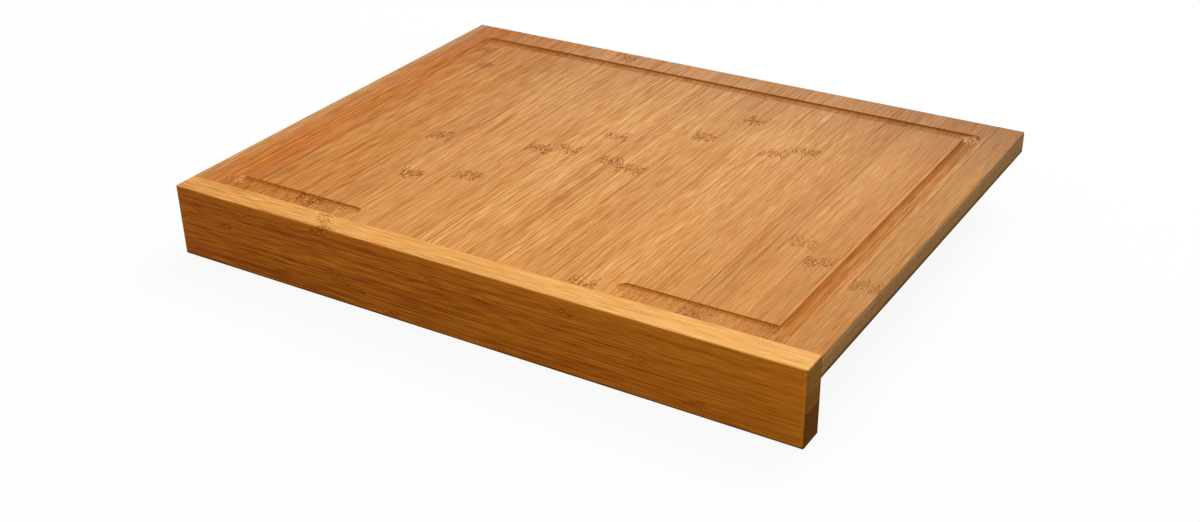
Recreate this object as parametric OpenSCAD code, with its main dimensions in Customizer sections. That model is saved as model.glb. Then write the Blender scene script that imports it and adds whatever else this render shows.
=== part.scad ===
// Worktop-edge chopping board: a laminated panel with a juice groove and a front lip that hooks over
// the worktop's edge. Millimetres, +Z up, seen from the side where the user stands (-Y).
// Origin: middle of the inside corner where the panel's underside meets the lip's rear face.

/* [Board] */
// Width of the board, left to right
board_w = 450; // [300:10:600]
// Depth of the board, from the lip's front face to the back edge
board_d = 350; // [250:10:500]
// Thickness of each face ply, whose laths run front to back
face_ply_t = 4; // [3:0.5:8]
// Thickness of the core ply, whose laths run left to right
core_ply_t = 7; // [6.5:0.5:14]

/* [Panel laths] */
// Number of laths in each face ply
face_laths = 26; // [14:1:27]
// Width of a face ply's first lath, ripped to fit
ripped_face_w = 10; // [6:0.5:16]
// Number of laths in the core ply
core_laths = 19; // [10:1:20]
// Width of the core ply's first lath, at the lip, ripped to fit
ripped_core_w = 15.6; // [8:0.1:17]

/* [Lip] */
// Height of the lip, from its lower edge to the board's top
lip_h = 50; // [35:1:80]
// Depth of the lip, front to back
lip_d = 17.6; // [14:0.1:30]
// Number of laths stacked in the lip
lip_laths = 9; // [5:1:11]

/* [Juice groove] */
// Width of the groove at the surface
groove_w = 10; // [8:0.5:14]
// Depth of the groove
groove_t = 1.6; // [1:0.1:3]
// Radius between the groove's flat floor and its walls
groove_r = 1.5; // [1:0.1:3]
// Plain strip between the left or right edge and the groove
side_land = 22; // [12:1:40]
// Plain strip between the back edge and the groove
back_land = 23; // [12:1:40]
// Plain strip between the lip's seam and the groove
front_land = 6.4; // [4:0.1:20]
// Plain stretch at the front, between the groove's two ends
front_gap = 188; // [60:2:210]

/* [Eased edges] */
// Radius of the top edges
top_ease = 2; // [0.5:0.1:3]
// Radius of the lip's top edge, along its front
lip_ease = 1; // [0.5:0.1:3]
// Radius of the lower edges
under_ease = 1.5; // [0.5:0.1:2.5]
// Radius of the upright corners, seen from above
corner_r = 3; // [1:0.5:6]

/* [Dowels] */
// Diameter of the dowels that pin the lip to the panel
dowel_d = 6; // [4:0.5:6.5]
// Length of a dowel
dowel_l = 32; // [24:1:40]
// Length of a dowel's stretch inside the lip
dowel_in_lip = 11; // [8:0.5:12]
// Number of dowels
dowel_count = 6; // [3:1:10]
// Chamfer on a dowel's ends
dowel_chamfer = 0.8; // [0.3:0.1:1.5]
// Glue film between the laths of a ply, and round a dowel
glue_film = 0.05; // [0.02:0.01:0.1]
// Depth of a dowel hole past the dowel's end
hole_spare = 0.6; // [0.2:0.1:1]

/* [Hidden] */
$fn = 64;
// Overlap of a cutting tool past the face that it cuts
past = 5;

panel_t = 2 * face_ply_t + core_ply_t;
panel_l = board_d - lip_d;
hook_drop = lip_h - panel_t;
lip_lath_t = lip_h / lip_laths;
side_x = board_w / 2;

// The groove is cut by a bowl cutter that gives this width at this depth
corner_depth = min(groove_t, groove_r);
corner_reach = sqrt(groove_r ^ 2 - (groove_r - corner_depth) ^ 2);
cutter_side = groove_w / 2 - corner_reach + groove_r;
groove_x = side_x - side_land - groove_w / 2;
groove_back_y = panel_l - back_land - groove_w / 2;
groove_front_y = front_land + groove_w / 2;
groove_end_x = front_gap / 2 + groove_w / 2;
groove_path = [
    [-groove_end_x, groove_front_y],
    [-groove_x, groove_front_y],
    [-groove_x, groove_back_y],
    [groove_x, groove_back_y],
    [groove_x, groove_front_y],
    [groove_end_x, groove_front_y]
];

dowel_pitch = board_w / dowel_count;

// Glue lines across a ply: the ripped lath first, then full ones that share what is left
function lath_edges(span, count, ripped_w) =
    [0, for (i = [0 : count - 1]) ripped_w + i * (span - ripped_w) / (count - 1)];

// Width of lath i, less the glue film between it and the next
function lath_width(edges, i) = edges[i + 1] - edges[i] - (i < len(edges) - 2 ? glue_film : 0);

face_edges = lath_edges(board_w, face_laths, ripped_face_w);
core_edges = lath_edges(panel_l, core_laths, ripped_core_w);

function numbered(stem, count) =
    [for (i = [1 : count]) str(stem, i < 10 ? "0" : "", i)];

top_names = numbered("top_lath_", face_laths);
core_names = numbered("core_lath_", core_laths);
lip_names = numbered("lip_lath_", lip_laths);

// Bamboo tones, darkest to palest, taken in turn
tones = ["#c8874b", "#d19355", "#d99d5e", "#dda565", "#d4985a", "#cf8e54"];
core_tone = "#9a7440";
lip_tone = "#a8702f";
dowel_tone = "#e0c08a";

// What a rounded corner takes off: towards is the way into the material
module corner_waste(corner, towards, r) {
    if (r > 0)
        translate(corner)
            scale(towards)
                difference() {
                    translate([-past, -past])
                        square(r + past);
                    translate([r, r])
                        circle(r);
                    translate([0, r])
                        square([r, past]);
                }
}

// A rectangle with its own radius at each corner: low-low, high-low, high-high, low-high
module eased_rect(lo, hi, radii) {
    difference() {
        translate(lo)
            square(hi - lo);
        corner_waste(lo, [1, 1], radii[0]);
        corner_waste([hi.x, lo.y], [-1, 1], radii[1]);
        corner_waste(hi, [-1, -1], radii[2]);
        corner_waste([lo.x, hi.y], [1, -1], radii[3]);
    }
}

// A block eased in three directions: plan seen from above, front from -Y, side from +X
module eased_block(lo, hi, plan, front, side) {
    intersection() {
        translate([0, 0, lo.z])
            linear_extrude(hi.z - lo.z)
                eased_rect([lo.x, lo.y], [hi.x, hi.y], plan);
        translate([0, hi.y, 0])
            rotate([90, 0, 0])
                linear_extrude(hi.y - lo.y)
                    eased_rect([lo.x, lo.z], [hi.x, hi.z], front);
        translate([lo.x, 0, 0])
            rotate([90, 0, 90])
                linear_extrude(hi.x - lo.x)
                    eased_rect([lo.y, lo.z], [hi.y, hi.z], side);
    }
}

// The sanded outside of the whole panel; its front meets the lip and stays square
module panel_form() {
    eased_block(
        [-side_x, 0, 0], [side_x, panel_l, panel_t],
        plan = [0, 0, corner_r, corner_r],
        front = [under_ease, under_ease, top_ease, top_ease],
        side = [0, under_ease, top_ease, 0]
    );
}

// The sanded outside of the whole lip; its upper rear edge meets the panel and stays square
module lip_form() {
    eased_block(
        [-side_x, -lip_d, -hook_drop], [side_x, 0, panel_t],
        plan = [corner_r, corner_r, 0, 0],
        front = [under_ease, under_ease, top_ease, top_ease],
        side = [under_ease, under_ease, 0, lip_ease]
    );
}

// The bowl cutter's outline, flat below with rounded corners, from one x to another
module cutter_outline(from_x, radii) {
    eased_rect([from_x, panel_t - groove_t], [cutter_side, panel_t + past], radii);
}

// Everything that the bowl cutter passes through on its way round the board
module groove_cut() {
    for (i = [0 : len(groove_path) - 1])
        translate(groove_path[i])
            rotate_extrude()
                cutter_outline(0, [0, groove_r, 0, 0]);
    for (i = [0 : len(groove_path) - 2])
        groove_run(groove_path[i], groove_path[i + 1]);
}

module groove_run(from, to) {
    run = to - from;
    translate(from)
        rotate([90, 0, 90 + atan2(run.y, run.x)])
            linear_extrude(norm(run))
                cutter_outline(-cutter_side, [groove_r, groove_r, 0, 0]);
}

// Places its children at each dowel, along +Y, with the lip's seam at their origin
module at_dowels() {
    for (i = [0 : dowel_count - 1])
        translate([(i + 0.5) * dowel_pitch - side_x, 0, panel_t / 2])
            rotate([-90, 0, 0])
                children();
}

module dowel_holes() {
    at_dowels()
        translate([0, 0, -dowel_in_lip - hole_spare])
            cylinder(h = dowel_l + 2 * hole_spare, d = dowel_d + 2 * glue_film);
}

// One lath of a face ply, still plain: it fills the panel's outside between two glue lines
module face_lath(i, floor_z) {
    intersection() {
        panel_form();
        translate([face_edges[i] - side_x, 0, floor_z])
            cube([lath_width(face_edges, i), panel_l, face_ply_t]);
    }
}

module top_lath(i) {
    color(tones[(i * 5 + floor(i / 4)) % len(tones)])
        difference() {
            face_lath(i, face_ply_t + core_ply_t);
            groove_cut();
            dowel_holes();
        }
}

// Laths of the core ply are counted from the lip back
module core_lath(i) {
    color(core_tone)
        difference() {
            intersection() {
                panel_form();
                translate([-side_x, core_edges[i], face_ply_t])
                    cube([board_w, lath_width(core_edges, i), core_ply_t]);
            }
            dowel_holes();
        }
}

// The same lay-up as the top, mirrored, so that the ripped lath is at the right
module bottom_ply_laths() {
    for (i = [0 : face_laths - 1])
        color(tones[(i * 7 + 2) % len(tones)])
            difference() {
                mirror([1, 0, 0])
                    face_lath(i, 0);
                dowel_holes();
            }
}

// Laths of the lip are counted from the top down
module lip_lath(i) {
    color(i == 0 ? tones[3] : lip_tone)
        difference() {
            intersection() {
                lip_form();
                translate([-side_x, -lip_d, panel_t - (i + 1) * lip_lath_t])
                    cube([board_w, lip_d, lip_lath_t]);
            }
            dowel_holes();
        }
}

module dowels() {
    color(dowel_tone)
        at_dowels()
            translate([0, 0, -dowel_in_lip])
                rotate_extrude()
                    polygon([
                        [0, 0],
                        [dowel_d / 2 - dowel_chamfer, 0],
                        [dowel_d / 2, dowel_chamfer],
                        [dowel_d / 2, dowel_l - dowel_chamfer],
                        [dowel_d / 2 - dowel_chamfer, dowel_l],
                        [0, dowel_l]
                    ]);
}

for (i = [0 : face_laths - 1])
    top_lath(i);
for (i = [0 : core_laths - 1])
    core_lath(i);
bottom_ply_laths();
for (i = [0 : lip_laths - 1])
    lip_lath(i);
dowels();
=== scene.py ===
"""Looks of a worktop-edge chopping board in laminated bamboo, in metres, in the board's own frame.

The board's laths come from the frame with their shapes as they are. This script gives each one its
bamboo, and sets up the floor, the light and the camera.
"""

import logging
import math
from dataclasses import dataclass
from enum import Enum
from typing import ClassVar

import bpy
from mathutils import Matrix, Vector


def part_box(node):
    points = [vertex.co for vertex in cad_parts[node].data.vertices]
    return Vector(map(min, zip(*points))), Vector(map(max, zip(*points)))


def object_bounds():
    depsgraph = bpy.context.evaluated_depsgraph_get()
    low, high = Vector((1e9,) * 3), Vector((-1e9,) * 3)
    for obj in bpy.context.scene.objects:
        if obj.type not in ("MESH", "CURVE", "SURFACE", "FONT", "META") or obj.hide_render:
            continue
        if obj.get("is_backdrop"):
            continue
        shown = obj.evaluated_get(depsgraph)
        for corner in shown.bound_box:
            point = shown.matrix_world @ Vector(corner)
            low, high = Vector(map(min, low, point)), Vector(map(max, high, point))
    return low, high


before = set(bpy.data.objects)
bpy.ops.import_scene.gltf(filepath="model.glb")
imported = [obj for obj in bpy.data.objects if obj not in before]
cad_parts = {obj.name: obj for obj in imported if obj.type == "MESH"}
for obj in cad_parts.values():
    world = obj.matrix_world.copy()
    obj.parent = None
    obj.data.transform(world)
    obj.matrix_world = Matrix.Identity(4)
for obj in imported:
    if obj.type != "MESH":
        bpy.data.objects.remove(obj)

Feed = bpy.types.NodeSocket | float | tuple[float, ...]
Colour = tuple[float, float, float, float]
Size = tuple[float, float, float]
Span = tuple[float, float]

NOWHERE = -9.0
SEED_STEP: Size = (0.517, 0.731, 0.293)
PLAIN: Size = (1.0, 1.0, 1.0)
WHITE: Colour = (1.0, 1.0, 1.0, 1.0)
log = logging.getLogger("board")


def linear(written: str) -> Colour:
    """Turns a colour as it is written into the values that a shader takes.

    Args:
        written: Six hexadecimal digits, such as "d9a066".

    Returns:
        The linear red, green and blue, and a full alpha.
    """
    shares = [int(written[i : i + 2], 16) / 255 for i in (0, 2, 4)]
    red, green, blue = (s / 12.92 if s <= 0.04045 else ((s + 0.055) / 1.055) ** 2.4 for s in shares)
    return (red, green, blue, 1.0)


class Tone(Enum):
    """Bamboo's colours, as written."""

    RUSSET = "c77c3d"
    AMBER = "cd8949"
    ROSE = "cf9056"
    HONEY = "d8995e"
    STRAW = "dfa165"
    SAND = "c98f57"
    BUTTER = "f5b465"
    CARAMEL = "c67318"
    TOFFEE = "c16f16"
    OLIVE = "a57a4c"
    MOSS = "a67a48"
    UMBER = "8e6226"
    CHESTNUT = "85551c"
    MAHOGANY = "6c3d0c"
    BIRCH = "dcc193"
    FLUFF = "e6bd86"

    def linear(self) -> Colour:
        """Gives the tone as a shader takes it."""
        return linear(self.value)


class Tint(Enum):
    """What an effect multiplies the wood's linear red, green and blue by."""

    DARK_FIBRE = (0.74, 0.60, 0.26, 1.0)
    PALE_FIBRE = (1.18, 1.36, 1.72, 1.0)
    DARK_LINE = (0.72, 0.60, 0.34, 1.0)
    PALE_LINE = (1.16, 1.26, 1.50, 1.0)
    PINKER = (1.01, 0.98, 0.96, 1.0)
    YELLOWER = (0.99, 1.02, 1.00, 1.0)
    KNUCKLE_DASH = (0.50, 0.34, 0.15, 1.0)
    KNUCKLE_PALE = (1.12, 1.20, 1.34, 1.0)
    KNUCKLE_BAND = (0.93, 0.88, 0.78, 1.0)
    CUT_TUBE = (0.50, 0.40, 0.30, 1.0)
    GLUE = (0.58, 0.44, 0.30, 1.0)
    CUT_FLOOR = (0.90, 0.80, 0.66, 1.0)
    # Painted light on the groove's walls that face the front, away from the lamp.
    PAINTED_LIGHT_WALL = (1.80, 1.66, 1.10, 1.0)
    # Painted light on the groove's side walls.
    PAINTED_LIGHT_BANK = (1.16, 1.12, 1.02, 1.0)
    # Stronger painted light on the side walls of the left groove.
    STRONGER_PAINTED_LIGHT_BANK = (1.32, 1.46, 1.60, 1.0)
    # Painted shade at the foot of the groove's inner walls.
    PAINTED_SHADE_FOOT = (0.78, 0.68, 0.52, 1.0)
    # A painted highlight along the top, just inside the groove's side runs.
    PAINTED_HIGHLIGHT_RIM = (1.08, 1.11, 1.14, 1.0)
    WORN_EDGE = (1.10, 1.13, 1.18, 1.0)
    # Painted shade on the rounded edges that turn down or to the left.
    TURNED_EDGE = (0.15, 0.16, 0.20, 1.0)


class Grain(Enum):
    """Which way a lath's fibres run."""

    FRONT_TO_BACK = "Y"
    LEFT_TO_RIGHT = "X"


class Stack(Enum):
    """How laths are glued to each other, by the place of the coordinate that crosses the joints."""

    SIDE_BY_SIDE = 0
    ON_TOP = 2


class Kind(Enum):
    """What a node group's socket carries."""

    VALUE = "NodeSocketFloat"
    COLOUR = "NodeSocketColor"
    VECTOR = "NodeSocketVector"


@dataclass(frozen=True)
class Port:
    """One named socket of a node group."""

    name: str
    kind: Kind = Kind.VALUE
    default: float = 0.0


class Graph:
    """A node tree that is being wired. Each method adds a node and returns what it gives."""

    def __init__(self, tree: bpy.types.NodeTree) -> None:
        """Starts on a tree.

        Args:
            tree: The tree that the nodes go into.
        """
        self.tree = tree

    def node(self, kind: str, **settings: object) -> bpy.types.Node:
        """Adds a node.

        Args:
            kind: The node's type, without ShaderNode in front.
            settings: Its properties.

        Returns:
            The node.
        """
        made = self.tree.nodes.new("ShaderNode" + kind)
        for name, value in settings.items():
            setattr(made, name, value)
        return made

    def feed(self, socket: bpy.types.NodeSocket, feed: Feed) -> None:
        """Links or sets an input.

        Args:
            socket: The input.
            feed: The output to link to it, or its value.
        """
        if isinstance(feed, bpy.types.NodeSocket):
            self.tree.links.new(feed, socket)
        else:
            socket.default_value = feed

    def feed_all(self, node: bpy.types.Node, feeds: dict[str | int, Feed]) -> None:
        """Links or sets several inputs of a node.

        Args:
            node: The node.
            feeds: What goes into each input, by name or place.
        """
        for name, feed in feeds.items():
            self.feed(node.inputs[name], feed)

    def math(self, operation: str, *feeds: Feed) -> bpy.types.NodeSocket:
        """Adds a Math node.

        Args:
            operation: Its operation.
            feeds: Its inputs, in order.

        Returns:
            Its result.
        """
        made = self.node("Math", operation=operation)
        self.feed_all(made, dict(enumerate(feeds)))
        return made.outputs[0]

    def vector(self, operation: str, *feeds: Feed) -> bpy.types.NodeSocket:
        """Adds a Vector Math node.

        Args:
            operation: Its operation.
            feeds: Its inputs, in order.

        Returns:
            Its vector.
        """
        made = self.node("VectorMath", operation=operation)
        self.feed_all(made, dict(enumerate(feeds)))
        return made.outputs[0]

    def split(self, vector: Feed) -> list[bpy.types.NodeSocket]:
        """Takes a vector apart.

        Args:
            vector: The vector.

        Returns:
            Its X, Y and Z.
        """
        made = self.node("SeparateXYZ")
        self.feed(made.inputs[0], vector)
        return list(made.outputs)

    def join(self, x: Feed, y: Feed, z: Feed) -> bpy.types.NodeSocket:
        """Puts a vector together.

        Args:
            x: Its X.
            y: Its Y.
            z: Its Z.

        Returns:
            The vector.
        """
        made = self.node("CombineXYZ")
        self.feed_all(made, {0: x, 1: y, 2: z})
        return made.outputs[0]

    def mask(self, value: Feed, span: Span, most: float = 1.0) -> bpy.types.NodeSocket:
        """Turns a value into a mask with soft ends.

        Args:
            value: The value.
            span: Where the mask is 0, and where it is full.
            most: How much of an effect full is.

        Returns:
            The mask.
        """
        none, full = span
        made = self.node("MapRange", interpolation_type="SMOOTHSTEP")
        self.feed_all(made, {0: value, 1: none, 2: full, 3: 0.0, 4: most})
        return made.outputs[0]

    def mix(self, share: Feed, first: Feed, second: Feed) -> bpy.types.NodeSocket:
        """Mixes two colours.

        Args:
            share: How much of the second shows.
            first: The colour below.
            second: The colour above.

        Returns:
            The mixed colour.
        """
        made = self.node("Mix", data_type="RGBA")
        self.feed_all(made, {0: share, 6: first, 7: second})
        return made.outputs[2]

    def tint(self, share: Feed, colour: Feed, by: Tint | Feed) -> bpy.types.NodeSocket:
        """Multiplies a colour.

        Args:
            share: How much of the tint shows.
            colour: The colour.
            by: What to multiply it by.

        Returns:
            The tinted colour.
        """
        made = self.node("Mix", data_type="RGBA", blend_type="MULTIPLY")
        self.feed_all(made, {0: share, 6: colour, 7: by.value if isinstance(by, Tint) else by})
        return made.outputs[2]

    def noise(self, place: Feed, cell: Size, detail: float = 1.0) -> bpy.types.NodeSocket:
        """Adds cloudy noise whose cells have a real size.

        Args:
            place: Where the noise is read, in metres.
            cell: The size of a cell, in metres.
            detail: How many finer layers it has.

        Returns:
            The noise, about 0.5 on average.
        """
        stretched = self.vector("DIVIDE", place, cell)
        made = self.node("TexNoise")
        self.feed_all(made, {"Vector": stretched, "Scale": 1.0, "Detail": detail})
        return made.outputs[0]

    def sown(self, place: Feed, seed: Feed) -> bpy.types.NodeSocket:
        """Moves a place by a seed, so that each lath is cut from another stretch of the noise.

        Args:
            place: The place, in metres.
            seed: The lath's own number.

        Returns:
            The moved place.
        """
        step = self.vector("SCALE", SEED_STEP)
        self.feed(step.node.inputs["Scale"], seed)
        return self.vector("ADD", place, step)


class Effect:
    """A surface effect that finishes share: one node group, built once and placed in each material."""

    name: ClassVar[str] = ""
    takes: ClassVar[tuple[Port, ...]] = ()
    gives: ClassVar[tuple[Port, ...]] = ()

    def __init__(self) -> None:
        """Builds the node group."""
        self.tree = bpy.data.node_groups.new(self.name, "ShaderNodeTree")
        for direction, ports in (("INPUT", self.takes), ("OUTPUT", self.gives)):
            for port in ports:
                kind = port.kind.value
                socket = self.tree.interface.new_socket(port.name, in_out=direction, socket_type=kind)
                if port.kind is Kind.VALUE:
                    socket.default_value = port.default
        graph = Graph(self.tree)
        given = self.tree.nodes.new("NodeGroupInput").outputs
        result = self.tree.nodes.new("NodeGroupOutput")
        graph.feed_all(result, self.wire(graph, given))

    def wire(self, graph: Graph, given: bpy.types.NodeOutputs) -> dict[str, Feed]:
        """Wires the group.

        Args:
            graph: The group's tree.
            given: The group's inputs, by name.

        Returns:
            What goes to each of the group's outputs.
        """
        raise NotImplementedError

    def place(self, graph: Graph, feeds: dict[str, Feed]) -> bpy.types.NodeOutputs:
        """Places the group in a material.

        Args:
            graph: The material's tree.
            feeds: What goes into each input.

        Returns:
            The group's outputs, by name.
        """
        made = graph.node("Group", node_tree=self.tree)
        graph.feed_all(made, feeds)
        return made.outputs


class FibreGrain(Effect):
    """Bamboo's long straight fibres, as a tint: fine hairs, strands, broad flames, and crisp thin lines."""

    name = "fibre_grain"
    takes = (Port("Position", Kind.VECTOR), Port("Seed"), Port("Streak", default=1.0))
    gives = (Port("Tint", Kind.COLOUR), Port("Height"))
    hair = (0.00048, 0.018, 0.00048)
    strand = (0.00135, 0.070, 0.00135)
    flame = (0.0045, 0.140, 0.0045)
    line = (0.00078, 0.110, 0.00078)
    blush = (0.0070, 0.060, 0.0070)
    line_shift = (0.1, 0.3, 0.2)
    blush_shift = (0.4, 0.1, 0.3)
    hair_share = 0.81
    strand_share = 0.15
    flame_share = 0.04
    contrast = 3.0
    middle = 0.53
    hair_relief = 0.5
    blush_span = (0.40, 0.60)
    dark_span = (0.575, 0.655)
    dark_most = 0.80
    pale_span = (0.36, 0.29)
    pale_most = 0.25

    def wire(self, graph: Graph, given: bpy.types.NodeOutputs) -> dict[str, Feed]:
        """Wires the group.

        Args:
            graph: The group's tree.
            given: The group's inputs, by name.

        Returns:
            The tint of the fibres, and how far they stand out.
        """
        place = graph.sown(given["Position"], given["Seed"])
        hair = graph.noise(place, self.hair)
        strand = graph.noise(place, self.strand)
        flame = graph.noise(place, self.flame)
        line = graph.noise(graph.vector("ADD", place, self.line_shift), self.line, detail=0.0)
        blush = graph.noise(graph.vector("ADD", place, self.blush_shift), self.blush)
        strands = graph.math("MULTIPLY", strand, self.strand_share)
        fine = graph.math("MULTIPLY_ADD", hair, self.hair_share, strands)
        mixed = graph.math("MULTIPLY_ADD", flame, self.flame_share, fine)
        spread = graph.math("MULTIPLY", graph.math("SUBTRACT", mixed, 0.5), given["Streak"])
        tone = graph.math("MULTIPLY_ADD", spread, self.contrast, self.middle)
        tint = graph.mix(tone, Tint.DARK_FIBRE.value, Tint.PALE_FIBRE.value)
        hue = graph.mix(graph.mask(blush, self.blush_span), Tint.PINKER.value, Tint.YELLOWER.value)
        tint = graph.tint(1.0, tint, hue)
        dark = graph.mask(line, self.dark_span, most=self.dark_most)
        dark = graph.math("MULTIPLY", dark, given["Streak"])
        tint = graph.tint(dark, tint, Tint.DARK_LINE)
        pale = graph.mask(line, self.pale_span, most=self.pale_most)
        pale = graph.math("MULTIPLY", pale, given["Streak"])
        tint = graph.tint(pale, tint, Tint.PALE_LINE)
        height = graph.math("MULTIPLY_ADD", hair, self.hair_relief, strand)
        height = graph.math("SUBTRACT", height, dark)
        return {"Tint": tint, "Height": height}


class Knuckle(Effect):
    """The ring where a bamboo stem had a joint: a band of short dark dashes in wavering fibres."""

    name = "knuckle"
    takes = (Port("Position", Kind.VECTOR), Port("Seed"), Port("At"), Port("Reach", default=0.009))
    gives = (Port("Push"), Port("Dashes"), Port("Pale"), Port("Band"))
    front = (0.0045, 0.500, 0.0045)
    dash = (0.00056, 0.0026, 0.00056)
    waver = (0.0030, 0.0050, 0.0030)
    raggedness = 0.022
    most_push = 0.0032
    band_span = (0.0, 0.55)
    core_span = (0.30, 0.95)
    halo_span = (-0.4, 0.3)
    dash_span = (0.48, 0.60)
    pale_span = (0.46, 0.34)

    def wire(self, graph: Graph, given: bpy.types.NodeOutputs) -> dict[str, Feed]:
        """Wires the group.

        Args:
            graph: The group's tree.
            given: The group's inputs, by name.

        Returns:
            How far the knuckle pushes the fibres aside, and its three masks.
        """
        place = graph.sown(given["Position"], given["Seed"])
        along = graph.split(given["Position"])[1]
        ragged = graph.math("SUBTRACT", graph.noise(place, self.front), 0.5)
        ragged = graph.math("MULTIPLY", ragged, self.raggedness)
        off = graph.math("ADD", graph.math("SUBTRACT", along, given["At"]), ragged)
        share = graph.math("DIVIDE", graph.math("ABSOLUTE", off), given["Reach"])
        near = graph.math("SUBTRACT", 1.0, share)
        band = graph.mask(near, self.band_span)
        push = graph.math("SUBTRACT", graph.noise(place, self.waver), 0.5)
        push = graph.math("MULTIPLY", graph.math("MULTIPLY", push, band), self.most_push)
        pushed = graph.vector("ADD", place, graph.join(push, 0.0, 0.0))
        marks = graph.noise(pushed, self.dash, detail=0.0)
        dashes = graph.math("MULTIPLY", graph.mask(marks, self.dash_span), band)
        pale = graph.math("MULTIPLY", graph.mask(marks, self.pale_span), graph.mask(near, self.halo_span))
        core = graph.mask(near, self.core_span)
        return {"Push": push, "Dashes": dashes, "Pale": pale, "Band": core}


class CutEnds(Effect):
    """Cut ends and narrow faces of a lath: how much each shows, and the dots of the cut tubes."""

    name = "cut_ends"
    takes = (Port("Position", Kind.VECTOR), Port("Facing", Kind.VECTOR), Port("Seed"))
    gives = (Port("End"), Port("Side"), Port("Dots"))
    dot = 0.0011
    end_span = (0.55, 0.85)
    side_span = (0.97, 0.30)
    dot_span = (0.45, 0.20)

    def wire(self, graph: Graph, given: bpy.types.NodeOutputs) -> dict[str, Feed]:
        """Wires the group.

        Args:
            graph: The group's tree.
            given: The group's inputs, by name.

        Returns:
            The masks of the cut end, the narrow face and the tubes.
        """
        _, along, upward = graph.split(graph.vector("ABSOLUTE", given["Facing"]))
        end = graph.mask(along, self.end_span)
        side = graph.mask(upward, self.side_span)
        across, _, through = graph.split(graph.sown(given["Position"], given["Seed"]))
        cells = graph.node("TexVoronoi", voronoi_dimensions="2D")
        flat = graph.vector("DIVIDE", graph.join(across, through, 0.0), (self.dot, self.dot, 1.0))
        graph.feed_all(cells, {"Vector": flat, "Scale": 1.0})
        dots = graph.math("MULTIPLY", graph.mask(cells.outputs["Distance"], self.dot_span), end)
        return {"End": end, "Side": side, "Dots": dots}


class LathRow(Effect):
    """Laths of one width, side by side in one piece: which one a place is in, and that one's borders."""

    name = "lath_row"
    takes = (Port("Crossing"), Port("Start"), Port("Pitch", default=0.02))
    gives = (Port("Number"), Port("Low"), Port("High"), Port("Chance"))

    def wire(self, graph: Graph, given: bpy.types.NodeOutputs) -> dict[str, Feed]:
        """Wires the group.

        Args:
            graph: The group's tree.
            given: The group's inputs, by name.

        Returns:
            The lath's number, its two borders, and its own draw from 0 to 1.
        """
        offset = graph.math("SUBTRACT", given["Crossing"], given["Start"])
        number = graph.math("FLOOR", graph.math("DIVIDE", offset, given["Pitch"]))
        low = graph.math("MULTIPLY_ADD", number, given["Pitch"], given["Start"])
        high = graph.math("ADD", low, given["Pitch"])
        chance = graph.node("TexWhiteNoise", noise_dimensions="1D")
        graph.feed(chance.inputs["W"], number)
        return {"Number": number, "Low": low, "High": high, "Chance": chance.outputs["Value"]}


class GlueSeam(Effect):
    """The thin dark line of glue at a lath's two long edges, here and there."""

    name = "glue_seam"
    takes = (
        Port("Position", Kind.VECTOR),
        Port("Crossing"),
        Port("Facing"),
        Port("Low"),
        Port("High"),
        Port("Seed"),
        Port("Width", default=0.0004),
    )
    gives = (Port("Line"),)
    stretch = (0.004, 0.070, 0.004)
    stretch_span = (0.42, 0.60)
    passing_span = (0.60, 0.30)

    def wire(self, graph: Graph, given: bpy.types.NodeOutputs) -> dict[str, Feed]:
        """Wires the group.

        Args:
            graph: The group's tree.
            given: The group's inputs, by name.

        Returns:
            The mask of the glue line.
        """
        from_low = graph.math("SUBTRACT", given["Crossing"], given["Low"])
        from_high = graph.math("SUBTRACT", given["High"], given["Crossing"])
        nearest = graph.math("DIVIDE", graph.math("MINIMUM", from_low, from_high), given["Width"])
        place = graph.sown(given["Position"], given["Seed"])
        strength = graph.mask(graph.noise(place, self.stretch), self.stretch_span)
        passing = graph.mask(graph.math("ABSOLUTE", given["Facing"]), self.passing_span)
        line = graph.math("MULTIPLY", graph.mask(nearest, (1.0, 0.0)), passing)
        return {"Line": graph.math("MULTIPLY", line, strength)}


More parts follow.
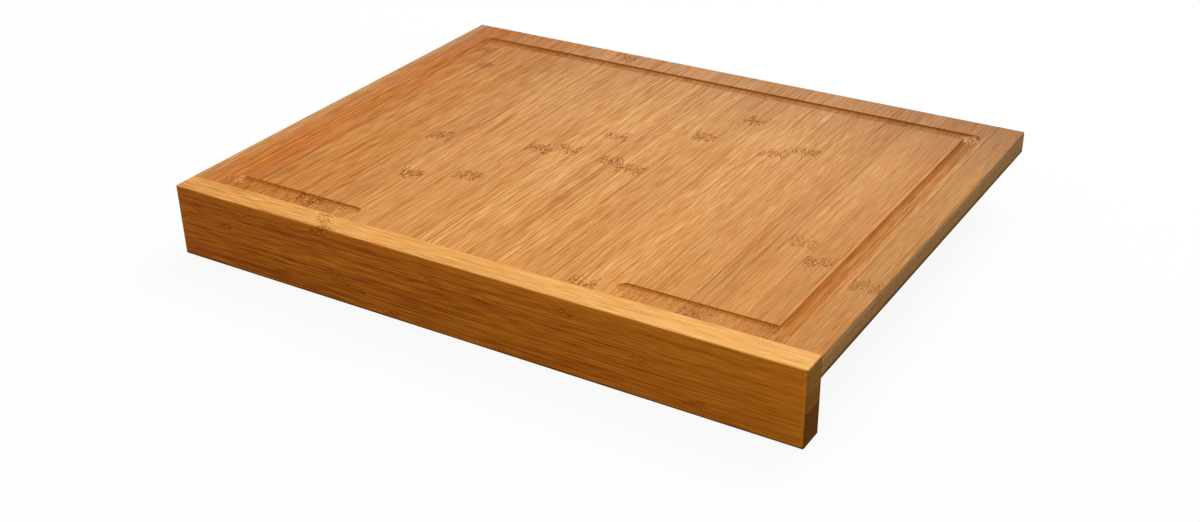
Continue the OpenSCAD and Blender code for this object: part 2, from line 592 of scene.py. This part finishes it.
class RoutedGroove(Effect):
    """The surface that the cutter left: its floor and walls, and the torn fibres at its corners, with the
    masks where painted light goes on its walls and banks, painted shade at its foot and a painted highlight
    along its rim.
    """

    name = "routed_groove"
    takes = (
        Port("Place", Kind.VECTOR),
        Port("Facing", Kind.VECTOR),
        Port("Top"),
        Port("Corner X"),
        Port("Middle Y"),
        Port("Corner Y"),
        Port("End X"),
    )
    parts = ("Cut", "Floor", "Wall", "Bank", "Foot", "Rim", "Strip", "Fuzz", "Torn")
    gives = tuple(map(Port, parts))
    fuzz = (0.0010, 0.0016, 0.0010)
    fluff = (0.0011, 0.0040, 0.0011)
    below_top = (0.00005, 0.00025)
    at_top = (0.00005, 0.0)
    within = (0.012, 0.011)
    floor_along = (0.010, 0.022)
    floor_least = 0.3
    floor_gain = 0.7
    wall_turn = (-0.35, -0.70)
    bank_turn = (0.35, 0.70)
    foot_across = (-0.0005, -0.0045)
    foot_along = (-0.004, -0.008)
    rim_across = (-0.0085, -0.0055)
    rim_inside = (-0.0045, -0.0055)
    crosswise = (-0.007, -0.005)
    run_inner = (-0.005, 0.001)
    run_outer = (0.008, 0.001)
    strip_along = (0.009, 0.006)
    strip_depth = (0.0001, 0.0)
    fuzz_span = (0.44, 0.60)
    fluff_span = (0.50, 0.62)
    corner_span = (0.009, 0.005)
    torn_side = (0.0, 0.01)

    def wire(self, graph: Graph, given: bpy.types.NodeOutputs) -> dict[str, Feed]:
        """Wires the group.

        Args:
            graph: The group's tree.
            given: The group's inputs, by name.

        Returns:
            The mask of each part, by name.
        """
        x, y, z = graph.split(given["Place"])
        from_middle = graph.math("ABSOLUTE", graph.math("SUBTRACT", y, given["Middle Y"]))
        sideways = graph.math("SUBTRACT", graph.math("ABSOLUTE", x), given["Corner X"])
        lengthways = graph.math("SUBTRACT", from_middle, given["Corner Y"])
        inside = graph.math("MAXIMUM", sideways, lengthways)
        depth = graph.math("SUBTRACT", given["Top"], z)
        cut = graph.math("MULTIPLY", graph.mask(depth, self.below_top), graph.mask(inside, self.within))
        floor = graph.math("MULTIPLY", cut, graph.mask(y, self.floor_along, most=self.floor_gain))
        floor = graph.math("MULTIPLY_ADD", cut, self.floor_least, floor)
        sideward, frontward, _ = graph.split(given["Facing"])
        wall = graph.math("MULTIPLY", graph.mask(frontward, self.wall_turn), cut)
        bank = graph.mask(graph.math("ABSOLUTE", sideward), self.bank_turn)
        bank = graph.math("MULTIPLY", bank, cut)
        foot = graph.math("MULTIPLY", graph.mask(sideways, self.foot_across), cut)
        foot = graph.math("MULTIPLY", foot, graph.mask(lengthways, self.foot_along))
        uncut = graph.mask(depth, self.at_top)
        rim = graph.math("MULTIPLY", graph.mask(sideways, self.rim_across), uncut)
        rim = graph.math("MULTIPLY", rim, graph.mask(inside, self.rim_inside))
        grain = graph.noise(given["Place"], self.fuzz, detail=2.0)
        crosswise = graph.mask(lengthways, self.crosswise)
        run_end = graph.math("SUBTRACT", graph.math("ABSOLUTE", x), given["End X"])
        run = graph.mask(run_end, self.run_inner)
        run = graph.math("MULTIPLY", run, graph.mask(sideways, self.run_outer))
        strip = graph.mask(y, self.strip_along)
        strip = graph.math("MULTIPLY", strip, graph.mask(depth, self.strip_depth))
        strip = graph.math("MULTIPLY", strip, run)
        rough = graph.math("MAXIMUM", graph.math("MULTIPLY", cut, crosswise), strip)
        fuzz = graph.math("MULTIPLY", graph.mask(grain, self.fuzz_span), rough)
        apart = graph.node("VectorMath", operation="LENGTH")
        graph.feed(apart.inputs[0], graph.join(sideways, lengthways, 0.0))
        corner = graph.mask(apart.outputs["Value"], self.corner_span)
        from_back = graph.math("MULTIPLY", x, graph.math("SUBTRACT", y, given["Middle Y"]))
        fluff = graph.mask(graph.noise(given["Place"], self.fluff, detail=0.0), self.fluff_span)
        spot = graph.math("MULTIPLY", corner, graph.mask(from_back, self.torn_side))
        torn = graph.math("MULTIPLY", graph.math("MULTIPLY", fluff, spot), cut)
        return dict(zip(self.parts, (cut, floor, wall, bank, foot, rim, strip, fuzz, torn)))


class SandedEdge(Effect):
    """Rounded edges: the middle that a sander wears pale in patches, and those that turn down or to the
    left, from the light, which take painted shade.
    """

    name = "sanded_edge"
    takes = (Port("Place", Kind.VECTOR), Port("Facing", Kind.VECTOR), Port("Lowest"))
    gives = (Port("Edge"), Port("Turned"))
    patch = (0.012, 0.012, 0.012)
    rounded_span = (0.985, 0.80)
    patch_span = (0.25, 0.60)
    foot_span = (0.0028, 0.0018)
    left_span = (-0.25, -0.50)
    flat_span = (-0.98, -0.90)

    def wire(self, graph: Graph, given: bpy.types.NodeOutputs) -> dict[str, Feed]:
        """Wires the group.

        Args:
            graph: The group's tree.
            given: The group's inputs, by name.

        Returns:
            The masks of the worn edges and of those that turn from the light.
        """
        x, y, z = graph.split(graph.vector("ABSOLUTE", given["Facing"]))
        squarest = graph.math("MAXIMUM", graph.math("MAXIMUM", x, y), z)
        rounded = graph.mask(squarest, self.rounded_span)
        patches = graph.mask(graph.noise(given["Place"], self.patch, detail=3.0), self.patch_span)
        sideward, _, upward = graph.split(given["Facing"])
        height = graph.math("SUBTRACT", graph.split(given["Place"])[2], given["Lowest"])
        down = graph.mask(height, self.foot_span)
        down = graph.math("MULTIPLY", down, graph.mask(upward, self.flat_span))
        left = graph.mask(sideward, self.left_span)
        left = graph.math("MULTIPLY", left, graph.mask(sideward, self.flat_span))
        turned = graph.math("MAXIMUM", down, left)
        return {"Edge": graph.math("MULTIPLY", rounded, patches), "Turned": turned}


class Effects:
    """Every shared effect, each built once."""

    def __init__(self) -> None:
        """Builds the node groups."""
        self.fibre = FibreGrain()
        self.knuckle = Knuckle()
        self.ends = CutEnds()
        self.row = LathRow()
        self.seam = GlueSeam()
        self.groove = RoutedGroove()
        self.edge = SandedEdge()


@dataclass(frozen=True)
class GroovePlan:
    """Where the juice groove runs, from the board's edges."""

    half_width: float = 0.005
    side_land: float = 0.022
    back_land: float = 0.023
    front_land: float = 0.0064
    front_gap: float = 0.188

    def feeds(self) -> dict[str, Feed]:
        """Gives the groove's place as its effect takes it.

        Returns:
            The effect's sizes, by the name of its input.
        """
        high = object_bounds()[1]
        back = high.y - self.back_land - self.half_width
        front = self.front_land + self.half_width
        return {
            "Top": high.z,
            "Corner X": high.x - self.side_land - self.half_width,
            "Middle Y": (back + front) / 2,
            "Corner Y": (back - front) / 2,
            "End X": self.front_gap / 2 + self.half_width,
        }


@dataclass(frozen=True)
class Drift:
    """How a lath shifts along its fibres: the colour by two tints, and how strongly the fibres show."""

    start: float
    end: float
    first: Size
    last: Size
    streaks: Span = (1.0, 1.0)

    def streak(self, graph: Graph, along: Feed, streak: Feed) -> Feed:
        """Wires the strength of the fibres, where it shifts.

        Args:
            graph: The material's tree.
            along: The place along the fibres.
            streak: The strength so far.

        Returns:
            How strongly the fibres show there.
        """
        first, last = self.streaks
        if first == last:
            return streak
        share = graph.node("MapRange")
        graph.feed_all(share, {0: along, 1: self.start, 2: self.end, 3: first, 4: last})
        return graph.math("MULTIPLY", share.outputs[0], streak)

    def tint(self, graph: Graph, along: Feed) -> bpy.types.NodeSocket:
        """Wires the shift.

        Args:
            graph: The material's tree.
            along: The place along the fibres.

        Returns:
            What to multiply the colour by.
        """
        share = graph.node("MapRange")
        graph.feed_all(share, {0: along, 1: self.start, 2: self.end})
        return graph.mix(share.outputs[0], (*self.first, 1.0), (*self.last, 1.0))


@dataclass(frozen=True)
class Row:
    """Laths of one width in one piece: a glue line between them, their width, and their other tone."""

    start: float
    pitch: float
    partner: Tone


@dataclass(frozen=True)
class BambooFinish:
    """Sanded and oiled bamboo. Metres; a knuckle's place is along the fibres."""

    name: str
    grain: Grain
    face: Tone
    side: Tone = Tone.OLIVE
    end: Tone = Tone.OLIVE
    seed: float = 0.0
    knuckle: float = NOWHERE
    mark: float = 1.0
    streak: float = 1.0
    stack: Stack = Stack.SIDE_BY_SIDE
    seams: Span = (NOWHERE, -NOWHERE)
    seam_width: float = 0.0004
    row: Row | None = None
    drifts: tuple[Drift, ...] = ()
    groove: GroovePlan | None = None
    # Also sets how strongly the painted shade at the groove's foot and the painted highlight along its rim
    # show.
    stain_and_painted_light: float = 1.0
    # Painted light on the groove's side walls.
    bank: Tint = Tint.PAINTED_LIGHT_BANK
    shine: float = 0.06
    lowest: float = NOWHERE

    knuckle_tints: ClassVar[tuple[tuple[str, Tint], ...]] = (
        ("Band", Tint.KNUCKLE_BAND),
        ("Dashes", Tint.KNUCKLE_DASH),
        ("Pale", Tint.KNUCKLE_PALE),
    )
    relief: ClassVar[float] = 0.00003
    bump: ClassVar[float] = 0.6
    fuzz_relief: ClassVar[float] = 1.5
    torn_relief: ClassVar[float] = 3.0
    face_rough: ClassVar[float] = 0.52
    end_rough: ClassVar[float] = 0.36
    turned_rough: ClassVar[float] = 0.40
    cut_rough: ClassVar[float] = 0.16
    tube_share: ClassVar[float] = 0.35
    glue_share: ClassVar[float] = 0.85
    strip_share: ClassVar[float] = 0.30
    fuzz_share: ClassVar[float] = 0.50
    torn_share: ClassVar[float] = 0.65
    worn_share: ClassVar[float] = 0.40

    def material(self, effects: Effects) -> bpy.types.Material:
        """Builds the material.

        Args:
            effects: The shared effects.

        Returns:
            The material.
        """
        made = bpy.data.materials.new(self.name)
        made.use_nodes = True
        made.node_tree.nodes.clear()
        graph = Graph(made.node_tree)
        source = graph.node("TexCoord")
        place, facing = source.outputs["Object"], source.outputs["Normal"]
        position, turned = self.along_grain(graph, place), self.along_grain(graph, facing)
        crossing = graph.split(position)[self.stack.value]
        square_on = graph.split(turned)[self.stack.value]
        seed, face, seams = self.lath(graph, effects, crossing)
        sown = {"Position": position, "Seed": seed}
        knuckle = effects.knuckle.place(graph, sown | {"At": self.knuckle})
        bent = graph.vector("ADD", position, graph.join(knuckle["Push"], 0.0, 0.0))
        along = graph.split(position)[1]
        streak = self.streak
        for drift in self.drifts:
            streak = drift.streak(graph, along, streak)
        fibre = effects.fibre.place(graph, {"Position": bent, "Seed": seed, "Streak": streak})
        ends = effects.ends.place(graph, sown | {"Facing": turned})
        edges = effects.edge.place(graph, {"Place": place, "Facing": facing, "Lowest": self.lowest})
        edge, turned_edge = edges["Edge"], edges["Turned"]
        rough = graph.math("MULTIPLY_ADD", ends["End"], self.end_rough, self.face_rough)
        rough = graph.math("MULTIPLY_ADD", turned_edge, self.turned_rough, rough)
        height = graph.math("SUBTRACT", fibre["Height"], knuckle["Dashes"])
        side = ends["Side"]
        if self.groove:
            sizes = self.groove.feeds()
            cut = effects.groove.place(graph, {"Place": place, "Facing": facing} | sizes)
            uncut = graph.math("SUBTRACT", 1.0, cut["Cut"])
            side = graph.math("MULTIPLY", side, uncut)
            edge = graph.math("MULTIPLY", edge, uncut)
            turned_edge = graph.math("MULTIPLY", turned_edge, uncut)
            rough = graph.math("MULTIPLY_ADD", cut["Cut"], self.cut_rough, rough)
            height = graph.math("MULTIPLY_ADD", cut["Fuzz"], self.fuzz_relief, height)
            height = graph.math("MULTIPLY_ADD", cut["Torn"], self.torn_relief, height)
        body = graph.mix(side, face, self.side.linear())
        body = graph.mix(ends["End"], body, self.end.linear())
        body = graph.tint(1.0, body, fibre["Tint"])
        for drift in self.drifts:
            body = graph.tint(1.0, body, drift.tint(graph, along))
        body = graph.tint(graph.math("MULTIPLY", ends["Dots"], self.tube_share), body, Tint.CUT_TUBE)
        for port, tint in self.knuckle_tints:
            body = graph.tint(graph.math("MULTIPLY", knuckle[port], self.mark), body, tint)
        low, high = seams
        borders = {"Crossing": crossing, "Facing": square_on, "Low": low, "High": high}
        seam = effects.seam.place(graph, sown | borders | {"Width": self.seam_width})
        body = graph.tint(graph.math("MULTIPLY", seam["Line"], self.glue_share), body, Tint.GLUE)
        if self.groove:
            body = self.routed(graph, body, cut)
        body = graph.tint(graph.math("MULTIPLY", edge, self.worn_share), body, Tint.WORN_EDGE)
        # Painted shade on the rounded edges that turn down or to the left, out of the light.
        body = graph.tint(turned_edge, body, Tint.TURNED_EDGE)
        bump = graph.node("Bump")
        graph.feed_all(bump, {"Strength": self.bump, "Distance": self.relief, "Height": height})
        shader = graph.node("BsdfPrincipled")
        graph.feed_all(shader, {"Base Color": body, "Roughness": rough, "Normal": bump.outputs[0]})
        graph.feed(shader.inputs["Specular IOR Level"], self.shine)
        graph.feed(graph.node("OutputMaterial").inputs[0], shader.outputs[0])
        return made

    def routed(self, graph: Graph, body: Feed, cut: bpy.types.NodeOutputs) -> bpy.types.NodeSocket:
        """Tints the wood in and around the groove: a stain on its floor and on the strip before the lip,
        painted light on its walls and banks, painted shade at its foot, a painted highlight along its rim,
        dark fibres and torn fluff.

        Args:
            graph: The material's tree.
            body: The colour so far.
            cut: The groove's masks.

        Returns:
            The tinted colour.
        """
        for port, share, tint in (
            ("Floor", self.stain_and_painted_light, Tint.CUT_FLOOR),
            ("Strip", self.strip_share, Tint.CUT_FLOOR),
            # Painted light on the banks and walls, painted shade at the foot, and a painted highlight along
            # the rim.
            ("Bank", 1.0, self.bank),
            ("Foot", self.stain_and_painted_light, Tint.PAINTED_SHADE_FOOT),
            ("Wall", 1.0, Tint.PAINTED_LIGHT_WALL),
            ("Rim", self.stain_and_painted_light, Tint.PAINTED_HIGHLIGHT_RIM),
            ("Fuzz", self.fuzz_share, Tint.DARK_FIBRE),
        ):
            body = graph.tint(graph.math("MULTIPLY", cut[port], share), body, tint)
        torn = graph.math("MULTIPLY", cut["Torn"], self.torn_share)
        return graph.mix(torn, body, Tone.FLUFF.linear())

    def along_grain(self, graph: Graph, vector: Feed) -> bpy.types.NodeSocket:
        """Turns a vector so that its Y lies along the fibres.

        Args:
            graph: The material's tree.
            vector: The vector, in the board's frame.

        Returns:
            Across, along and through, in that order.
        """
        x, y, z = graph.split(vector)
        return graph.join(x, y, z) if self.grain is Grain.FRONT_TO_BACK else graph.join(y, x, z)

    def lath(self, graph: Graph, effects: Effects, crossing: Feed) -> tuple[Feed, Feed, tuple[Feed, Feed]]:
        """Tells the laths of a row apart, where the piece is a row.

        Args:
            graph: The material's tree.
            effects: The shared effects.
            crossing: The coordinate that crosses the joints.

        Returns:
            The lath's seed, its face tone, and its two glue lines.
        """
        if self.row is None:
            return self.seed, self.face.linear(), self.seams
        sizes = {"Start": self.row.start, "Pitch": self.row.pitch}
        lath = effects.row.place(graph, {"Crossing": crossing} | sizes)
        seed = graph.math("ADD", lath["Number"], self.seed)
        face = graph.mix(lath["Chance"], self.face.linear(), self.row.partner.linear())
        return seed, face, (lath["Low"], lath["High"])


@dataclass(frozen=True)
class LathLook:
    """What sets one lath apart.

    Attributes:
        tone: The tone of its face, or of the lip's front.
        knuckle: How far along it a knuckle lies.
        streak: How strongly its fibres show.
        stain_and_painted_light: How much darker the groove's floor is stained, and how strongly the painted
            shade at the groove's foot and the painted highlight along its rim show.
        bank: The painted light that the groove's side wall is tinted by.
        mark: How strongly its knuckle shows.
        end: The tone of its cut ends.
    """

    tone: Tone
    knuckle: float | None = None
    streak: float = 1.0
    stain_and_painted_light: float = 1.0
    bank: Tint = Tint.PAINTED_LIGHT_BANK
    mark: float = 1.0
    end: Tone = Tone.OLIVE


def dress(node: str, finish: BambooFinish, effects: Effects) -> None:
    """Puts a finish on a node of the frame and reports it.

    Args:
        node: The node's name.
        finish: Its finish.
        effects: The shared effects.
    """
    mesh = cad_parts[node].data
    mesh.materials.clear()
    mesh.materials.append(finish.material(effects))
    log.info("%s: %s", node, finish.face.name.lower())


@dataclass(frozen=True)
class TopPly:
    """The top's laths, from the left. A knuckle is given from the back edge."""

    groove: GroovePlan = GroovePlan()
    paler: Size = (0.95, 0.98, 1.00)
    warmer: Size = (1.05, 0.94, 0.71)
    # Painted shade towards the back edge: how far it reaches, where it is full, and its tints at the left
    # and the right.
    painted_shade_reach: float = 0.100
    painted_shade_land: float = 0.010
    left_painted_shade: Size = (0.91, 0.85, 0.93)
    right_painted_shade: Size = (0.70, 0.65, 0.70)
    looks: tuple[LathLook, ...] = (
        LathLook(Tone.SAND),
        # Laths 2 and 3: stronger painted light on the groove's side wall, and little floor stain.
        LathLook(Tone.RUSSET, streak=1.2, stain_and_painted_light=0.0, bank=Tint.STRONGER_PAINTED_LIGHT_BANK),
        LathLook(Tone.RUSSET, 0.047, streak=1.2, stain_and_painted_light=0.1, bank=Tint.STRONGER_PAINTED_LIGHT_BANK, mark=0.7),
        LathLook(Tone.AMBER, 0.076, streak=1.2, mark=0.7),
        LathLook(Tone.AMBER, streak=1.3),
        LathLook(Tone.AMBER, 0.323, streak=1.2),
        LathLook(Tone.ROSE, 0.199, streak=1.1, mark=1.4),
        LathLook(Tone.HONEY, 0.260, streak=1.1, mark=1.4),
        LathLook(Tone.HONEY, 0.009),
        LathLook(Tone.HONEY, 0.241, streak=0.75, mark=1.4),
        LathLook(Tone.HONEY, 0.184),
        LathLook(Tone.STRAW, 0.178, streak=1.1),
        LathLook(Tone.STRAW, 0.139),
        LathLook(Tone.HONEY, 0.178),
        LathLook(Tone.STRAW, 0.184, streak=1.1),
        LathLook(Tone.HONEY, 0.113),
        LathLook(Tone.HONEY, 0.073, streak=0.75),
        LathLook(Tone.STRAW, 0.330),
        LathLook(Tone.STRAW, 0.116),
        LathLook(Tone.HONEY, 0.100, streak=0.75),
        LathLook(Tone.HONEY, streak=0.85),
        LathLook(Tone.ROSE, 0.330, streak=0.8, mark=0.7),
        LathLook(Tone.HONEY, 0.221, streak=0.6, mark=0.6),
        LathLook(Tone.ROSE, 0.240, streak=0.6, mark=0.8),
        LathLook(Tone.ROSE, streak=0.8),
        LathLook(Tone.SAND, 0.254, streak=0.7, mark=0.6),
    )

    def painted_shade(self, back: float, number: int) -> Drift:
        """Darkens a lath towards the back edge with painted shade, the laths at the right the most.

        Args:
            back: The back edge.
            number: The lath's number.

        Returns:
            The lath's shift.
        """
        share = number / len(self.looks)
        last = tuple(a + share * (b - a) for a, b in zip(self.left_painted_shade, self.right_painted_shade))
        return Drift(back - self.painted_shade_reach, back - self.painted_shade_land, PLAIN, last)

    def dress(self, effects: Effects) -> None:
        """Gives each lath of the top its bamboo.

        Args:
            effects: The shared effects.
        """
        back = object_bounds()[1].y
        for number, look in enumerate(self.looks, start=1):
            node = f"top_lath_{number:02}"
            low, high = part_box(node)
            finish = BambooFinish(
                name="bamboo_" + node,
                grain=Grain.FRONT_TO_BACK,
                face=look.tone,
                end=look.end,
                seed=float(number),
                knuckle=NOWHERE if look.knuckle is None else back - look.knuckle,
                streak=look.streak,
                mark=look.mark,
                seams=(low.x, high.x),
                drifts=(Drift(0.0, back, self.warmer, self.paler), self.painted_shade(back, number)),
                groove=self.groove,
                side=Tone.MOSS,
                stain_and_painted_light=look.stain_and_painted_light,
                bank=look.bank,
            )
            dress(node, finish, effects)


@dataclass(frozen=True)
class CorePly:
    """The laths between the two face plies, which run left to right."""

    tones: tuple[Tone, ...] = (Tone.OLIVE, Tone.MOSS, Tone.ROSE)
    base_seed: float = 40.0

    def dress(self, effects: Effects) -> None:
        """Gives each lath of the core its bamboo.

        Args:
            effects: The shared effects.
        """
        nodes = sorted(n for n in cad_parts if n.startswith("core_lath_"))
        for number, node in enumerate(nodes):
            low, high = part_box(node)
            tone = self.tones[number % len(self.tones)]
            finish = BambooFinish(
                name="bamboo_" + node,
                grain=Grain.LEFT_TO_RIGHT,
                face=tone,
                side=tone,
                end=Tone.MOSS,
                seed=self.base_seed + number,
                seams=(low.y, high.y),
            )
            dress(node, finish, effects)


@dataclass(frozen=True)
class BottomPly:
    """The laths of the underside, which one node holds. The ripped one is at the right."""

    node: str = "bottom_ply_laths"
    lath_w: float = 0.0176
    ripped_w: float = 0.010
    seed: float = 70.0
    shine: float = 0.01

    def dress(self, effects: Effects) -> None:
        """Gives the underside its bamboo.

        Args:
            effects: The shared effects.
        """
        low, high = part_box(self.node)
        finish = BambooFinish(
            name="bamboo_bottom_ply",
            grain=Grain.FRONT_TO_BACK,
            face=Tone.AMBER,
            side=Tone.UMBER,
            seed=self.seed,
            shine=self.shine,
            row=Row(high.x - self.ripped_w, self.lath_w, Tone.STRAW),
            lowest=low.z,
        )
        dress(self.node, finish, effects)


@dataclass(frozen=True)
class Lip:
    """The laths stacked in the lip, from the top down. A knuckle is given from the left end."""

    duller: Size = (0.88, 0.76, 0.62)
    brighter: Size = (1.06, 1.05, 1.02)
    top_streaks: Span = (1.0, 0.65)
    front_streaks: Span = (2.1, 0.6)
    thin_shade: float = 0.0008
    seam_width: float = 0.0006
    base_seed: float = 90.0
    looks: tuple[LathLook, ...] = (
        LathLook(Tone.CARAMEL, 0.122, mark=0.9, end=Tone.UMBER),
        LathLook(Tone.TOFFEE, 0.300, mark=0.6, end=Tone.UMBER),
        LathLook(Tone.CARAMEL, 0.204, mark=0.6, end=Tone.UMBER),
        LathLook(Tone.TOFFEE, 0.043, mark=0.6, end=Tone.CHESTNUT),
        LathLook(Tone.CARAMEL, 0.350, mark=0.6, end=Tone.CHESTNUT),
        LathLook(Tone.TOFFEE, 0.129, mark=0.6, end=Tone.MAHOGANY),
        LathLook(Tone.CARAMEL, 0.146, mark=0.6, end=Tone.MAHOGANY),
        LathLook(Tone.TOFFEE, 0.386, mark=0.6, end=Tone.MAHOGANY),
        LathLook(Tone.CARAMEL, 0.172, mark=0.6, end=Tone.MAHOGANY),
    )

    def dress(self, effects: Effects) -> None:
        """Gives each lath of the lip its bamboo.

        Args:
            effects: The shared effects.
        """
        left, right = (corner.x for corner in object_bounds())
        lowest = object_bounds()[0].z - self.thin_shade
        for number, look in enumerate(self.looks, start=1):
            node = f"lip_lath_{number:02}"
            low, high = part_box(node)
            streaks = self.top_streaks if number == 1 else self.front_streaks
            finish = BambooFinish(
                name="bamboo_" + node,
                grain=Grain.LEFT_TO_RIGHT,
                face=Tone.BUTTER,
                side=look.tone,
                end=look.end,
                seed=self.base_seed + number,
                knuckle=left + look.knuckle,
                mark=look.mark,
                streak=look.streak,
                stack=Stack.ON_TOP,
                seams=(low.z, high.z),
                seam_width=self.seam_width,
                lowest=lowest,
                drifts=(Drift(left, right, self.duller, self.brighter, streaks),),
            )
            dress(node, finish, effects)


@dataclass(frozen=True)
class Dowels:
    """The pins between the lip and the panel, hidden in the finished board."""

    node: str = "dowels"
    seed: float = 120.0
    streak: float = 0.6

    def dress(self, effects: Effects) -> None:
        """Gives the dowels their wood.

        Args:
            effects: The shared effects.
        """
        finish = BambooFinish(
            name="dowel_wood",
            grain=Grain.FRONT_TO_BACK,
            face=Tone.BIRCH,
            side=Tone.BIRCH,
            end=Tone.SAND,
            seed=self.seed,
            streak=self.streak,
        )
        dress(self.node, finish, effects)


@dataclass(frozen=True)
class Studio:
    """The pale floor, the soft light from behind, and the plain bright surroundings."""

    floor_drop: float = 0.0005
    floor_half: float = 3.0
    floor_colour: Colour = (0.60, 0.60, 0.60, 1.0)
    floor_glow: float = 1.06
    glow_share: float = 0.86
    surround: float = 0.58
    lamp_place: Size = (0.2, 1.7, 2.1)
    lamp_side: float = 1.6
    lamp_power: float = 41.0

    def build(self) -> None:
        """Sets up the floor, the lamp and the surroundings."""
        self.floor()
        self.lamp()
        self.world()
        view = bpy.context.scene.view_settings
        view.view_transform = "Standard"

    def seen(self, graph: Graph) -> bpy.types.NodeSocket:
        """Tells rays that show the background from those that light the board.

        Args:
            graph: The tree of the material or the world.

        Returns:
            1 on a camera, glossy or transmission ray, and otherwise 0.
        """
        path = graph.node("LightPath").outputs
        glossy = graph.math("MAXIMUM", path["Is Camera Ray"], path["Is Glossy Ray"])
        return graph.math("MAXIMUM", glossy, path["Is Transmission Ray"])

    def floor(self) -> None:
        """Lays the floor under the lip, white to the camera but for the board's soft shadow."""
        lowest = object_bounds()[0].z - self.floor_drop
        reach = self.floor_half
        plan = ((-reach, -reach), (reach, -reach), (reach, reach), (-reach, reach))
        corners = [(x, y, lowest) for x, y in plan]
        mesh = bpy.data.meshes.new("floor")
        mesh.from_pydata(corners, [], [(0, 1, 2, 3)])
        floor = bpy.data.objects.new("floor", mesh)
        bpy.context.scene.collection.objects.link(floor)
        floor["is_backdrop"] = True
        paint = bpy.data.materials.new("floor_paint")
        paint.use_nodes = True
        paint.node_tree.nodes.clear()
        graph = Graph(paint.node_tree)
        matt = graph.node("BsdfDiffuse")
        graph.feed(matt.inputs["Color"], self.floor_colour)
        white = graph.node("Emission")
        graph.feed(white.inputs["Strength"], self.floor_glow)
        mixed = graph.node("MixShader")
        share = graph.math("MULTIPLY", self.seen(graph), self.glow_share)
        graph.feed_all(mixed, {0: share, 1: matt.outputs[0], 2: white.outputs[0]})
        clear = graph.node("BsdfTransparent")
        sided = graph.node("MixShader")
        under = graph.node("NewGeometry").outputs["Backfacing"]
        graph.feed_all(sided, {0: under, 1: mixed.outputs[0], 2: clear.outputs[0]})
        graph.feed(graph.node("OutputMaterial").inputs[0], sided.outputs[0])
        mesh.materials.append(paint)

    def lamp(self) -> None:
        """Hangs a large soft lamp above and behind the board, a little to its right."""
        light = bpy.data.lights.new("soft_lamp", "AREA")
        light.shape = "SQUARE"
        light.size = self.lamp_side
        light.energy = self.lamp_power
        lamp = bpy.data.objects.new("soft_lamp", light)
        bpy.context.scene.collection.objects.link(lamp)
        low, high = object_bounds()
        aim = (low + high) / 2
        lamp.location = self.lamp_place
        lamp.rotation_mode = "QUATERNION"
        lamp.rotation_quaternion = (aim - Vector(self.lamp_place)).to_track_quat("-Z", "Y")

    def world(self) -> None:
        """Surrounds the board with plain light, and with white where the background shows."""
        world = bpy.data.worlds.new("surroundings")
        bpy.context.scene.world = world
        world.use_nodes = True
        world.node_tree.nodes.clear()
        graph = Graph(world.node_tree)
        lights = graph.node("Background")
        graph.feed(lights.inputs["Color"], WHITE)
        strength = graph.math("MULTIPLY_ADD", self.seen(graph), 1.0 - self.surround, self.surround)
        graph.feed(lights.inputs["Strength"], strength)
        graph.feed(graph.node("OutputWorld").inputs[0], lights.outputs[0])


@dataclass(frozen=True)
class Viewpoint:
    """The camera: where it stands, and the way it looks, in degrees."""

    place: Size = (0.486, -0.643, 0.442)
    turn: float = 33.40
    fall: float = 29.73
    lean: float = 1.73
    lens: float = 46.2
    shift: Span = (0.0335, 0.0320)

    def build(self) -> None:
        """Sets up the camera."""
        turn, fall, lean = (math.radians(a) for a in (self.turn, self.fall, self.lean))
        flat = math.cos(fall)
        ahead = Vector((-math.sin(turn) * flat, math.cos(turn) * flat, -math.sin(fall)))
        level = Vector((math.cos(turn), math.sin(turn), 0.0))
        right = Matrix.Rotation(lean, 3, ahead) @ level
        up = right.cross(ahead)
        data = bpy.data.cameras.new("camera")
        data.lens = self.lens
        data.shift_x, data.shift_y = self.shift
        camera = bpy.data.objects.new("camera", data)
        bpy.context.scene.collection.objects.link(camera)
        turned = Matrix((right, up, -ahead)).transposed()
        camera.matrix_world = Matrix.Translation(self.place) @ turned.to_4x4()
        bpy.context.scene.camera = camera


def main() -> None:
    """Builds the looks, sub-assembly by sub-assembly."""
    logging.basicConfig(level=logging.INFO, format="%(name)s: %(message)s")
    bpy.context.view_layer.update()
    Viewpoint().build()
    Studio().build()
    effects = Effects()
    for part in (TopPly(), CorePly(), BottomPly(), Lip(), Dowels()):
        part.dress(effects)


if __name__ == "__main__":
    main()
